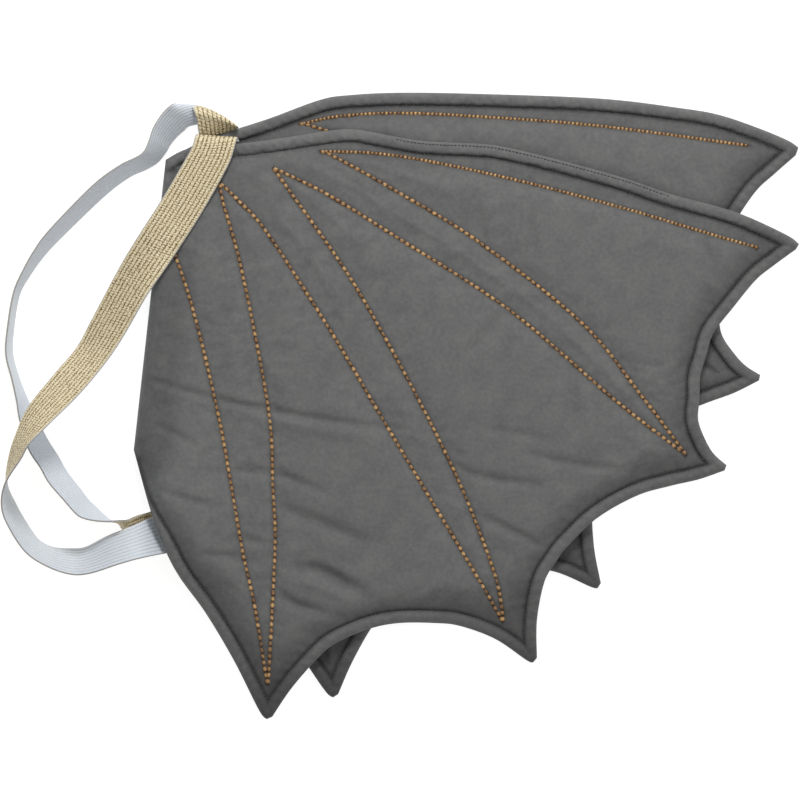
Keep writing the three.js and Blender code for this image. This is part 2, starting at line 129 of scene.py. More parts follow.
LOWER_TOP_EDGE = [
    Share(0.999, 0.970), Share(0.983, 0.982), Share(0.941, 1.002), Share(0.881, 1.025),
    Share(0.821, 1.037), Share(0.701, 1.053), Share(0.520, 1.061), Share(0.400, 1.063),
    Share(0.325, 1.059), Share(0.280, 1.051), Share(0.205, 1.020), Share(0.156, 1.002),
    Share(0.107, 0.983),
]
TURN_CENTRE = Share(-0.047, 0.796)
LIFT_CENTRE = Share(0.047, 0.312)

# Where the lower wing's sewing differs from the upper one's, once turned
LOWER_SHIFTS = [
    Shift(0.200, 0.000, 0.005, -0.009, 0.10), Shift(0.600, 0.100, 0.018, 0.019, 0.16),
    Shift(0.889, 0.427, 0.015, 0.004, 0.12), Shift(1.000, 0.806, 0.010, -0.002, 0.09),
    Shift(0.280, 0.963, -0.009, -0.002, 0.05),
]

# Stitched bones, from the shoulder to the tips
UPPER_TOP_BONE = [
    Share(0.280, 0.963), Share(0.391, 0.956), Share(0.564, 0.917), Share(0.737, 0.866),
    Share(0.874, 0.820), Share(0.938, 0.800),
]
LOWER_TOP_BONE = [
    Share(0.253, 1.010), Share(0.310, 1.023), Share(0.400, 1.028), Share(0.520, 1.022),
    Share(0.701, 1.006), Share(0.923, 0.973),
]
BONES = [
    [Share(0.280, 0.963), Share(0.301, 0.954), Share(0.398, 0.893), Share(0.520, 0.808),
     Share(0.674, 0.671), Share(0.765, 0.545), Share(0.830, 0.448)],
    [Share(0.209, 0.935), Share(0.289, 0.891), Share(0.398, 0.815), Share(0.565, 0.693),
     Share(0.719, 0.545), Share(0.788, 0.484), Share(0.830, 0.448)],
    [Share(0.209, 0.935), Share(0.239, 0.888), Share(0.326, 0.747), Share(0.412, 0.576),
     Share(0.489, 0.402), Share(0.543, 0.243), Share(0.555, 0.165)],
    [Share(0.129, 0.910), Share(0.156, 0.881), Share(0.202, 0.822), Share(0.298, 0.654),
     Share(0.389, 0.480), Share(0.511, 0.251), Share(0.555, 0.165)],
    [Share(0.129, 0.910), Share(0.135, 0.873), Share(0.162, 0.762), Share(0.202, 0.528),
     Share(0.209, 0.397), Share(0.212, 0.285), Share(0.202, 0.059)],
    [Share(0.039, 0.852), Share(0.083, 0.718), Share(0.128, 0.511), Share(0.162, 0.294),
     Share(0.182, 0.190), Share(0.201, 0.059)],
]

UPPER_ROUTE = [
    Stop(0.128, 0.978, 3, 0, 0.54), Stop(0.126, 0.984, 0, 0, 0.58), Stop(0.125, 0.988, -4, 0, 0.77),
    Stop(0.123, 0.983, -7, 0, 0.99), Stop(0.119, 0.967, -10, 0, 1.05), Stop(0.110, 0.944, -20, 0, 1.06),
    Stop(0.074, 0.873, -33, 0, 1.05), Stop(0.036, 0.806, -31, 3, 1.02), Stop(-0.002, 0.739, -30, 22, 0.58),
    Stop(-0.039, 0.664, -28, 28, 0.25), Stop(-0.065, 0.616, -31, 37, 0.18),
    Stop(-0.101, 0.567, -42, 38, 0.90), Stop(-0.141, 0.516, -43, 48, 1.84),
    Stop(-0.164, 0.477, -29, 65, 1.88), Stop(-0.177, 0.445, -23, 72, 1.36),
    Stop(-0.191, 0.402, -8, 90, 0.50), Stop(-0.188, 0.363, 20, 109, 0.10),
    Stop(-0.174, 0.329, 30, 114, 0.03), Stop(-0.153, 0.295, 43, 115, 0.03),
    Stop(-0.128, 0.277, 65, 118, 0.03), Stop(-0.095, 0.268, 82, 128, 0.03),
    Stop(-0.069, 0.270, 94, 131, 0.35), Stop(-0.029, 0.288, 110, 138, 1.09),
    Stop(0.005, 0.301, 108, 144, 1.15), Stop(0.036, 0.312, 105, 158, 0.42),
    Stop(0.063, 0.319, 101, 170, 0.64), Stop(0.087, 0.324, 100, 178, 0.71),
    Stop(0.110, 0.329, 100, 180, 0.71),
]
LOWER_ROUTE = [
    Stop(0.128, 0.992, 18, 0, 0.21, 0.95), Stop(0.126, 1.010, -9, 0, 0.55, 1.02),
    Stop(0.123, 1.018, -20, 0, 0.69, 1.14), Stop(0.120, 1.022, -24, 0, 0.42, 1.19),
    Stop(0.107, 1.025, -27, -8, 0.08, 1.12), Stop(0.090, 1.028, -30, -25, 0.03),
    Stop(0.071, 1.024, -45, -47, 0.03), Stop(0.061, 1.015, -48, -49, 0.03),
    Stop(0.051, 1.003, -48, -52, 0.03), Stop(0.042, 0.988, -43, -56, 0.03),
    Stop(0.036, 0.972, -35, -61, 0.03), Stop(0.026, 0.954, -38, -66, 0.03),
    Stop(0.012, 0.943, -52, -69, 0.03), Stop(-0.014, 0.929, -57, -70, 0.03),
    Stop(-0.053, 0.896, -48, -69, 0.03), Stop(-0.118, 0.823, -45, -72, 0.03),
    Stop(-0.143, 0.789, -38, -76, 0.03), Stop(-0.162, 0.755, -30, -80, 0.03),
    Stop(-0.176, 0.722, -20, -83, 0.03), Stop(-0.184, 0.671, -5, -83, 0.03),
    Stop(-0.187, 0.621, 3, -82, 0.03), Stop(-0.177, 0.576, 14, -81, 0.03),
    Stop(-0.168, 0.542, 20, -76, 0.03), Stop(-0.160, 0.513, 23, -68, 0.03),
    Stop(-0.144, 0.467, 28, -60, 0.03), Stop(-0.126, 0.435, 31, -60, 0.03),
    Stop(-0.114, 0.411, 34, -60, 0.03), Stop(-0.093, 0.382, 39, -62, 0.03),
    Stop(-0.076, 0.359, 47, -64, 0.03), Stop(-0.065, 0.351, 58, -68, 0.03),
    Stop(-0.048, 0.342, 74, -80, 0.03), Stop(-0.034, 0.336, 84, -90, 0.03),
    Stop(-0.021, 0.333, 92, -97, 0.03), Stop(-0.005, 0.315, 99, -134, 0.03),
    Stop(0.018, 0.314, 103, -172, 0.03), Stop(0.042, 0.322, 105, -180, 0.12),
    Stop(0.066, 0.328, 104, -180, 0.45), Stop(0.088, 0.334, 103, -180, 0.56),
    Stop(0.110, 0.339, 103, -180, 0.56),
]

# Folds in the cloth of the upper wing: hollows, and a few crests, along lines
FOLDS = [
    Fold([Share(0.027, 0.576), Share(0.107, 0.547), Share(0.220, 0.521), Share(0.325, 0.501),
          Share(0.415, 0.491)], 2.2, -2.3),
    Fold([Share(0.144, 0.523), Share(0.280, 0.490), Share(0.385, 0.469)], 3.9, 1.1),
    Fold([Share(0.032, 0.499), Share(0.062, 0.484), Share(0.092, 0.462)], 2.2, -1.6),
    Fold([Share(0.144, 0.423), Share(0.212, 0.416), Share(0.257, 0.399), Share(0.302, 0.377)], 2.6, -2.3),
    Fold([Share(0.032, 0.392), Share(0.084, 0.372), Share(0.137, 0.355)], 2.6, -2.0),
    Fold([Share(0.205, 0.367), Share(0.280, 0.334), Share(0.340, 0.307), Share(0.382, 0.299)], 4.3, -2.8),
    Fold([Share(0.137, 0.309), Share(0.174, 0.302), Share(0.212, 0.295)], 2.4, -1.8),
    Fold([Share(0.092, 0.282), Share(0.137, 0.277), Share(0.192, 0.260)], 2.4, -1.8),
    Fold([Share(0.232, 0.260), Share(0.277, 0.255), Share(0.317, 0.233), Share(0.358, 0.209)], 3.6, -4.1),
    Fold([Share(0.235, 0.236), Share(0.280, 0.224), Share(0.330, 0.197)], 3.4, 1.3),
    Fold([Share(0.209, 0.216), Share(0.250, 0.194), Share(0.298, 0.180)], 2.9, -3.0),
    Fold([Share(0.475, 0.431), Share(0.535, 0.409), Share(0.626, 0.396)], 2.6, -2.3),
    Fold([Share(0.580, 0.453), Share(0.663, 0.433), Share(0.746, 0.424)], 2.6, -2.0),
    Fold([Share(0.520, 0.494), Share(0.580, 0.484), Share(0.633, 0.472)], 2.4, -1.3),
    Fold([Share(0.523, 0.346), Share(0.573, 0.317), Share(0.618, 0.290)], 2.6, -1.8),
    Fold([Share(0.659, 0.610), Share(0.662, 0.542), Share(0.665, 0.474)], 2.6, -1.3),
    Fold([Share(0.683, 0.584), Share(0.686, 0.491), Share(0.692, 0.423)], 4.3, 1.1),
    Fold([Share(0.513, 0.881), Share(0.526, 0.813), Share(0.535, 0.762)], 2.6, -1.1),
    Fold([Share(0.595, 0.864), Share(0.605, 0.788)], 2.6, -1.0),
    Fold([Share(0.857, 0.822), Share(0.869, 0.766)], 2.2, -1.1),
]

# The rim's least share and its reach at the spine's foot, and the stretch where the top groove's painted
# shade is fainter
FOOT_RIM = 0.14
FOOT_REACH = (20.0, 66.0)
PLAIN_TOP_EDGE = (95.0, 165.0)

# Waves wider than the folds, where both start inside the rim, and how the bones hold them down
SOFT_WAVE = 0.25
WAVE_START = (0.5, 7)
BONE_HOLD, BONE_HOLD_REACH = 0.7, 3

# Gathers across the rim: turns a millimetre of two waves, the second's share, and depths
GATHER_WAVES = (1.02, 1.63)
SECOND_WAVE = 0.45
GATHER, TIP_GATHER, TOP_GATHER, FAR_TOP_GATHER = 0.11, 0.20, 0.08, 0.24
TIP_GATHER_AT, TIP_GATHER_REACH = 22, 34
FAR_TOP = (190, 300)
INNER_GATHER, INNER_GATHER_REACH = 0.35, 6

# How dark the painted shade lies on the cloth in the groove, on its inner side and along the bones'
# stitching
GROOVE_OUTER_REACH, GROOVE_INNER_REACH = 1.2, 2.4
BESIDE_SHADE, BESIDE_REACH = 0.32, 9
FAINT_SHARE = 0.6
BONE_SHADE, BONE_SHADE_REACH = 0.7, 1.4

# How dark the painted shade lies in each tip, from the hem's to the top edge's, along the spine and in the
# folds' hollows
TIP_SHADES = (0.75, 0.60, 0.20, 0.15)
TIP_REACH = 40.0
SPINE_SHADE = 0.30
SPINE_SHADE_REACH = (16, 30)
SPINE_SHADE_FROM, SPINE_SHADE_TO = (0.30, 0.46), (0.74, 0.82)
FOLD_SHADE, FOLD_SHADE_DEPTH = 0.26, 4

# Where the lower strap's fold bows out
LOWER_FOLD_BOW = Bow(22.0, 11.0, 1.5, 3.1)

# Stitches, the dark strip of painted shade under the bones' stitches, how far in from the upper wing's edge
# the lower wing's are left out, and the share of the height above which it has bone stitches
TOP_BONE_STITCH = Stitch(2.5, 2.6, 2.1, 0.42)
BONE_STITCH = Stitch(3.8, 3.95, 2.3, 0.46)
RIM_STITCH = Stitch(2.3, 1.6, 0.75, 0.24)
CLOSING_STITCH = Stitch(2.2, 1.7, 0.8, 0.3)
CLOSING_INSET = 1.7
CLOSED_PART = slice(3, 10)
GAP_SHADE_WIDTH, GAP_SHADE_HEIGHT = 1.8, 0.6
HIDDEN_PAST = 8
LOWER_BONES_FROM = 0.9
STITCH_RINGS = 7
STITCH_SIDES = 8
STITCH_SEED = 3
STITCH_SLANT, SLANT_SPREAD = 0.16, 0.05
STITCH_SINK, DEPTH_SPREAD, WIDTH_SPREAD = 0.55, 0.08, 0.06
LEAST_SWELL, BLUNTNESS = 0.35, 0.97
LEAST_TONE, MIDDLE_TONE, TONE_SPREAD, MOST_TONE = 0.4, 0.82, 0.2, 1.1

# The elastic's ribs, and a stitch of its knit in metres
ELASTIC_RIBS = 10
KNIT_PITCH = 0.0016
GOLD_RIB, PALE_RIB = 0.18, 0.16


def place(share):
    return np.array([share.across * WING_WIDTH, share.up * WING_HEIGHT])


def turned(share):
    centre = place(TURN_CENTRE)
    angle = math.radians(LOWER_TURN)
    turn = np.array([[math.cos(angle), -math.sin(angle)], [math.sin(angle), math.cos(angle)]])
    spot = place(share)
    moved = centre + turn @ (spot - centre)
    for shift in LOWER_SHIFTS:
        away = np.linalg.norm(spot - place(shift)) / (shift.reach * WING_WIDTH)
        moved = moved + place(Share(shift.right, shift.rise)) * math.exp(-(away ** 2))
    return moved


def spline(knots, shares, reflect=False):
    """Points on a smooth curve through the knots, at shares from 0 to 1."""
    knots = np.asarray(knots, float)
    first = 2 * knots[0] - knots[1] if reflect else knots[0]
    last = 2 * knots[-1] - knots[-2] if reflect else knots[-1]
    padded = np.vstack([first, knots, last])
    spot = np.asarray(shares) * (len(knots) - 1)
    i = np.minimum(spot.astype(int), len(knots) - 2)
    f = (spot - i)[:, None]
    p0, p1, p2, p3 = padded[i], padded[i + 1], padded[i + 2], padded[i + 3]
    v0, v1 = (p2 - p0) / 2, (p3 - p1) / 2
    return (2 * p1 - 2 * p2 + v0 + v1) * f ** 3 + (3 * p2 - 3 * p1 - 2 * v0 - v1) * f ** 2 + v0 * f + p1


def even_steps(line, step):
    """The same line with its points a fixed step apart."""
    run = np.concatenate([[0], np.cumsum(np.linalg.norm(np.diff(line, axis=0), axis=1))])
    count = max(2, round(run[-1] / step))
    marks = np.linspace(0, run[-1], count + 1)
    return np.column_stack([np.interp(marks, run, line[:, k]) for k in range(line.shape[1])])


def along(knots, step):
    return even_steps(spline(knots, np.linspace(0, 1, 40 * len(knots))), step)


def outline(to_plan, top_edge, step):
    top, foot = place(SPINE_TOP), place(SPINE_FOOT)
    edges = [[foot] + [to_plan(s) for s in HEM]]
    edges += [[to_plan(s) for s in edge] for edge in (FIRST_SCALLOP, SECOND_SCALLOP, THIRD_SCALLOP)]
    edges.append([place(s) for s in top_edge] + [top])
    ring = [even_steps(np.array([top, foot]), step)[:-1]]
    ring += [along(edge, step) for edge in edges]
    return np.vstack(ring)[:-1]


def nearest(points, line, closed=False):
    """Distance to a line, and the run along it of the nearest spot."""
    ends = np.roll(line, -1, axis=0) if closed else line[1:]
    starts = line if closed else line[:-1]
    step = ends - starts
    length = np.linalg.norm(step, axis=1)
    before = np.concatenate([[0], np.cumsum(length)[:-1]])
    best = np.full(len(points), np.inf)
    run = np.zeros(len(points))
    for a, d, size, passed in zip(starts, step, length, before):
        offset = points - a
        t = np.clip(offset @ d / (size * size), 0, 1)
        gap = np.hypot(offset[:, 0] - t * d[0], offset[:, 1] - t * d[1])
        closer = gap < best
        best = np.where(closer, gap, best)
        run = np.where(closer, passed + t * size, run)
    return best, run


def inside(points, ring):
    hits = np.zeros(len(points), bool)
    ends = np.roll(ring, -1, axis=0)
    for a, b in zip(ring, ends):
        crosses = (a[1] > points[:, 1]) != (b[1] > points[:, 1])
        if a[1] != b[1]:
            hits ^= crosses & (points[:, 0] < a[0] + (b[0] - a[0]) * (points[:, 1] - a[1]) / (b[1] - a[1]))
    return hits


def smooth(value, low, high):
    t = np.clip((value - low) / (high - low), 0, 1)
    return t * t * (3 - 2 * t)


class Spread:
    """Plan points that keep a set distance from each other, the first come first."""

    def __init__(self, cell=2.0):
        self.cell = cell
        self.grid = {}
        self.points = []

    def add(self, points, gap):
        for point in points:
            x, y = int(point[0] // self.cell), int(point[1] // self.cell)
            span = int(gap // self.cell) + 1
            near = (
                other for i in range(x - span, x + span + 1) for j in range(y - span, y + span + 1)
                for other in self.grid.get((i, j), ())
            )
            if all((o[0] - point[0]) ** 2 + (o[1] - point[1]) ** 2 > gap * gap for o in near):
                self.grid.setdefault((x, y), []).append(point)
                self.points.append(point)


def offset_line(line, gap):
    run = np.gradient(line, axis=0)
    run /= np.linalg.norm(run, axis=1)[:, None]
    return line + gap * np.column_stack([-run[:, 1], run[:, 0]])


class Wing:
    """Plan points, triangles and heights of one wing."""

    def __init__(self, to_plan, top_edge, top_bone, grid_step, lower):
        self.lower = lower
        self.grid_step = grid_step
        self.top = along([place(s) for s in top_edge], 4.0)
        self.ring = outline(to_plan, top_edge, RING_STEP)
        self.spine = np.array([place(SPINE_TOP), place(SPINE_FOOT)])
        foot = int(np.argmin(np.linalg.norm(self.ring - self.spine[1], axis=1)))
        self.seam = np.vstack([self.ring[foot:], self.ring[:1]])
        self.bones = [along([place(s) for s in top_bone], BONE_STEP)]
        self.bones += [along([to_plan(s) for s in bone], BONE_STEP) for bone in BONES]
        self.tips = [to_plan(edge[-1]) for edge in (HEM, FIRST_SCALLOP, SECOND_SCALLOP, THIRD_SCALLOP)]
        self.spread()
        self.measure()

    def spread(self):
        spread = Spread()
        spread.add(self.ring, 0.0)
        closed = np.vstack([self.ring[-1], self.ring, self.ring[0]])
        for inset in RING_INSETS:
            line = offset_line(closed, inset)[1:-1]
            kept = inside(line, self.ring) & (nearest(line, self.ring, True)[0] > inset * TRUE_INSET)
            spread.add(line[kept], RING_APART)
        for gap in BONE_OFFSETS:
            for bone in self.bones:
                line = offset_line(bone, gap)
                kept = inside(line, self.ring) & (nearest(line, self.ring, True)[0] > RIM)
                spread.add(line[kept], BONE_APART)
        low, high = self.ring.min(axis=0), self.ring.max(axis=0)
        step = self.grid_step
        rows = np.arange(low[1], high[1], step * math.sqrt(3) / 2)
        columns = np.arange(low[0], high[0], step)
        grid = np.array([(x + (k % 2) * step / 2, y) for k, y in enumerate(rows) for x in columns])
        spread.add(grid[inside(grid, self.ring)], step * GRID_APART)
        count = len(self.ring)
        loop = [(i, (i + 1) % count) for i in range(count)]
        made = geometry.delaunay_2d_cdt([tuple(p) for p in spread.points], loop, [], 1, 1e-6)
        self.points = np.array([(v[0], v[1]) for v in made[0]])
        self.triangles = np.array([face for face in made[2] if len(face) == 3])

    def measure(self):
        self.from_seam, self.run = nearest(self.points, self.seam)
        self.from_spine = nearest(self.points, self.spine)[0]
        gaps = [nearest(self.points, bone)[0] for bone in self.bones]
        self.from_bone = np.min(gaps, axis=0)
        self.from_tips = [np.linalg.norm(self.points - tip, axis=1) for tip in self.tips]
        self.from_tip = np.min(self.from_tips, axis=0)
        self.from_top = nearest(self.points, self.top)[0]
        self.rim = self.rim_width(self.points)

    def rim_width(self, points):
        """The rim narrows to nothing much at the spine's foot."""
        from_foot = np.linalg.norm(points - self.spine[1], axis=1)
        return RIM * (FOOT_RIM + (1 - FOOT_RIM) * smooth(from_foot, *FOOT_REACH))

    def thickness(self):
        share = np.clip(self.from_seam / self.rim, 0, 1)
        crest = (RIM_CREST - GROOVE) * self.rim / RIM
        rim = EDGE + (GROOVE - EDGE) * np.sqrt(share) + crest * np.sin(math.pi * share) ** 0.75
        bone_free = 1 - np.exp(-((self.from_bone / BONE_REACH) ** 2))
        rim_free = 1 - np.exp(-(((self.from_seam - self.rim) / RIM_REACH) ** 2))
        padding = BONE_PINCH + (QUILT - BONE_PINCH) * np.sqrt(bone_free)
        field = GROOVE + (padding - GROOVE) * np.sqrt(rim_free)
        return np.where(self.from_seam < self.rim, rim, field)

    def puckers(self):
        """Small gathers across the rim, deepest near the tips and along the top edge."""
        first, second = GATHER_WAVES
        wave = np.sin(self.run * first + 0.35 * self.from_seam + 1.8 * np.sin(self.run * 0.071))
        wave += SECOND_WAVE * np.sin(self.run * second - 0.3 * self.from_seam + np.sin(self.run * 0.13))
        depth = GATHER + TIP_GATHER * np.exp(-((self.from_tip - TIP_GATHER_AT) / TIP_GATHER_REACH) ** 2)
        far = smooth(self.points[:, 0], *FAR_TOP)
        depth += (TOP_GATHER + FAR_TOP_GATHER * far) * (self.from_top < RIM * 2)
        across = np.sin(math.pi * np.clip(self.from_seam / self.rim, 0, 1)) * self.rim / RIM
        inner = np.exp(-((self.from_seam - RIM) / INNER_GATHER_REACH) ** 2)
        inner *= (self.from_seam > RIM) * INNER_GATHER
        return wave * depth * (across + inner)

    def painted_shade(self):
        """How dark the painted shade lies on the cloth at each point, from 0 to 1."""
        # Painted shade in the rim's groove and beside it on its inner side
        past = self.from_seam - self.rim
        line = np.exp(-((past / np.where(past < 0, GROOVE_OUTER_REACH, GROOVE_INNER_REACH)) ** 2))
        beside = BESIDE_SHADE * np.exp(-((past / BESIDE_REACH) ** 2)) * (past > 0)
        shade = np.maximum(line, beside) * smooth(self.from_spine, 0.5, RIM)
        if not self.lower:
            shoulder = (self.from_top < RIM * 2.2) * (1 - smooth(self.points[:, 0], *PLAIN_TOP_EDGE))
            shade = shade * (1 - FAINT_SHARE * shoulder)
        # Painted shade along the bones' stitching
        shade = np.maximum(shade, BONE_SHADE * np.exp(-((self.from_bone / BONE_SHADE_REACH) ** 2)))
        light = 1 - shade
        # Painted shade in the tips, along the spine and in the folds' hollows
        for away, depth in zip(self.from_tips, TIP_SHADES):
            light = light * (1 - depth * np.exp(-((away / TIP_REACH) ** 2)))
        up = self.points[:, 1] / WING_HEIGHT
        beside_spine = 1 - smooth(self.from_spine, *SPINE_SHADE_REACH)
        stretch = smooth(up, *SPINE_SHADE_FROM) * (1 - smooth(up, *SPINE_SHADE_TO))
        light = light * (1 - SPINE_SHADE * beside_spine * stretch)
        if not self.lower:
            light = light * (1 - FOLD_SHADE * np.clip(-self.waves() / FOLD_SHADE_DEPTH, 0, 1))
        return 1 - light

    def waves(self):
        height = np.zeros(len(self.points))
        for fold in FOLDS:
            line = along([place(s) for s in fold.line], 3.0)
            gap, run = nearest(self.points, line)
            length = np.linalg.norm(np.diff(line, axis=0), axis=1).sum()
            taper = np.sin(math.pi * np.clip(run / length, 0.01, 0.99)) ** 0.8
            height += fold.height * taper * np.exp(-((gap / fold.reach) ** 2))
        x, y = self.points[:, 0], self.points[:, 1]
        height += SOFT_WAVE * np.sin(x / 23 + 1.3 * np.sin(y / 41)) * np.sin(y / 31 + np.sin(x / 57))
        held = BONE_HOLD * np.exp(-((self.from_bone / BONE_HOLD_REACH) ** 2))
        free = smooth(self.from_seam - self.rim, *WAVE_START) * (1 - held)
        return height * free

    def heights(self, floor):
        """The outer and under faces' heights above the surface."""
        rise = EDGE * 0.7 * (1 - np.clip(self.from_seam / (RIM / 2), 0, 1))
        level = 1 - np.clip(self.from_spine / QUILT, 0, 1)
        round_fold = np.maximum(EDGE, QUILT * np.sqrt(1 - level ** 2))
        near = self.from_spine < QUILT
        full = self.thickness() + self.puckers() + (0 if self.lower else self.waves())
        if self.lower:
            bottom = np.where(near, np.maximum(QUILT - round_fold, rise), rise)
            top = np.where(near, QUILT, np.minimum(rise + full, QUILT))
            return top, bottom
        bottom = floor + rise
        return bottom + np.where(near, np.minimum(full, round_fold), full), bottom


def mesh_object(name, vertices, faces):
    """A mesh from points in the wings' own millimetres."""
    spots = np.array(vertices, float)
    spots[:, 0] += ORIGIN[0]
    spots[:, 1] += ORIGIN[1]
    mesh = bpy.data.meshes.new(name)
    mesh.from_pydata((spots * MM).tolist(), [], [list(map(int, face)) for face in faces])
    mesh.validate()
    mesh.polygons.foreach_set("use_smooth", [True] * len(mesh.polygons))
    obj = bpy.data.objects.new(name, mesh)
    bpy.context.collection.objects.link(obj)
    return obj


def shaded_by(obj, name, values):
    """The object, with a value at each of its points for its material to read."""
    layer = obj.data.attributes.new(name, "FLOAT", "POINT")
    layer.data.foreach_set("value", np.asarray(values, float))
    return obj


def simulated(wing, top):
    """The outer face blown up by its wadding, with the stitched lines held."""
    sheet = mesh_object("swelling_sheet", np.column_stack([wing.points, top]), wing.triangles)
    held = sheet.vertex_groups.new(name="stitched")
    firm = (wing.from_seam < 0.5) | (abs(wing.from_seam - wing.rim) < 0.45) | (wing.from_bone < 0.7)
    firm |= wing.from_spine < 3
    held.add([int(i) for i in np.nonzero(firm)[0]], 1.0, "REPLACE")
    cloth = sheet.modifiers.new("swell", "CLOTH")
    cloth.settings.vertex_group_mass = "stitched"
    cloth.settings.quality = 5
    cloth.settings.mass = 0.15
    cloth.settings.tension_stiffness = 20
    cloth.settings.compression_stiffness = 20
    cloth.settings.shear_stiffness = 12
    cloth.settings.bending_stiffness = 1.5
    cloth.settings.air_damping = 4
    cloth.settings.use_pressure = True
    cloth.settings.uniform_pressure_force = 3
    cloth.settings.shrink_min = -0.012
    cloth.settings.effector_weights.gravity = 0
    cloth.collision_settings.use_collision = False
    cloth.collision_settings.use_self_collision = False
    cloth.point_cache.frame_start = 1
    cloth.point_cache.frame_end = SIM_FRAMES
    scene = bpy.context.scene
    for step in range(1, SIM_FRAMES + 1):
        scene.frame_set(step)
    evaluated = sheet.evaluated_get(bpy.context.evaluated_depsgraph_get())
    spots = np.empty(len(evaluated.data.vertices) * 3)
    evaluated.data.vertices.foreach_get("co", spots)
    spots = spots.reshape(-1, 3) / MM
    spots[:, :2] -= ORIGIN
    start = np.column_stack([wing.points, top])
    move = spots - start
    size = np.linalg.norm(move, axis=1)
    scale = np.minimum(1, SIM_CAP / np.maximum(size, 1e-9))
    scene.frame_set(1)
    bpy.data.objects.remove(sheet)
    return start + move * scale[:, None]


def strap_line(route, step):
    """Middles, width directions and face directions of a strap, in millimetres."""
    middles = []
    for stop in route:
        lean = math.radians(stop.lean)
        half = (STRAP_WIDTH * abs(math.sin(lean)) + STRAP_THICK * abs(math.cos(lean))) / 2
        middles.append((*place(stop), stop.low * STACK + half))
    bends = [(stop.turn, stop.lean, stop.wide) for stop in route]
    shares = np.linspace(0, 1, 60 * len(route))
    both = np.hstack([spline(middles, shares, True), spline(bends, shares, True)])
    run = np.concatenate([[0], np.cumsum(np.linalg.norm(np.diff(both[:, :3], axis=0), axis=1))])
    marks = np.linspace(0, run[-1], max(2, round(run[-1] / step)) + 1)
    both = np.column_stack([np.interp(marks, run, both[:, k]) for k in range(6)])
    turn, lean = np.radians(both[:, 3]), np.radians(both[:, 4])
    width = np.column_stack([np.cos(lean) * np.cos(turn), np.cos(lean) * np.sin(turn), np.sin(lean)])
    ahead = np.gradient(both[:, :3], axis=0)
    face = np.cross(width, ahead)
    face /= np.linalg.norm(face, axis=1)[:, None]
    return both[:, :3], width * both[:, 5:], face, marks


def ribbon(name, route, inner, outer, rib_height, bow=None):
    """One ply of a strap between two depths from its middle, with ribs along it on its outer face.
    A bow pushes its middle over, most at one run along it."""
    columns = RIBBON_COLUMNS
    middles, width, face, marks = strap_line(route, RIBBON_STEP)
    across = np.linspace(-0.5, 0.5, columns + 1)
    edge = np.clip((0.5 - abs(across)) * STRAP_WIDTH / PLY_ROUNDING, 0, 1)
    body = np.sqrt(1 - (1 - edge) ** 2)
    rib = rib_height * abs(np.sin(math.pi * ELASTIC_RIBS * (across + 0.5)))
    sign = math.copysign(1, outer - inner)
    depths = PLY_EDGE + (1 - PLY_EDGE) * body
    outside = inner + (outer - inner) * depths + sign * (rib - rib_height) * body
    rows = []
    for depth in (outside, np.full(columns + 1, inner)):
        rows.append(
            middles[:, None, :] + width[:, None, :] * (across * (STRAP_WIDTH - PLY_INSET))[None, :, None]
            + face[:, None, :] * depth[None, :, None]
        )
    if bow:
        push = np.exp(-(((marks - bow.run) / bow.reach) ** 2))[:, None] * (1 - (2 * across) ** 2)[None, :]
        rows = [row + push[:, :, None] * np.array([bow.right, bow.rise, 0]) for row in rows]
    count = len(middles)
    span = columns + 1
    vertices = np.vstack([row.reshape(-1, 3) for row in rows])
    back = count * span
    i, k = np.meshgrid(np.arange(count - 1), np.arange(columns), indexing="ij")
    a = (i * span + k).ravel()
    front_faces = np.column_stack([a, a + 1, a + span + 1, a + span])
    back_faces = front_faces[:, ::-1] + back
    left = np.arange(count - 1) * span
    right = left + columns
    left_faces = np.column_stack([left, left + span, left + span + back, left + back])
    right_faces = np.column_stack([right + span, right, right + back, right + span + back])
    first = np.arange(columns)
    last = first + (count - 1) * span
    start_faces = np.column_stack([first + 1, first, first + back, first + 1 + back])
    end_faces = np.column_stack([last, last + 1, last + 1 + back, last + back])
    faces = np.vstack([front_faces, back_faces, left_faces, right_faces, start_faces, end_faces])
    if sign < 0:
        faces = faces[:, ::-1]
    obj = mesh_object(name, vertices, faces.tolist())
    plan = np.column_stack([np.repeat(marks * MM, span), np.tile(across + 0.5, count)])
    spots = np.vstack([plan, plan])
    corners = np.empty(len(obj.data.loops), int)
    obj.data.loops.foreach_get("vertex_index", corners)
    layer = obj.data.uv_layers.new(name="weave")
    layer.data.foreach_set("uv", spots[corners].ravel())
    return obj, marks[-1]


def surface_sampler(vertices):
    """Heights of a wing's face at any plan points, by its nearest vertices."""
    tree = KDTree(len(vertices))
    for i, v in enumerate(vertices):
        tree.insert((v[0], v[1], 0), i)
    tree.balance()

    def sample(points):
        out = []
        for p in points:
            found = tree.find_n((p[0], p[1], 0), 4)
            weights = np.array([1 / (d + 0.2) ** 2 for _, _, d in found])
            out.append(float(np.dot(weights, [vertices[i][2] for _, i, _ in found]) / weights.sum()))
        return np.array(out)

    return sample


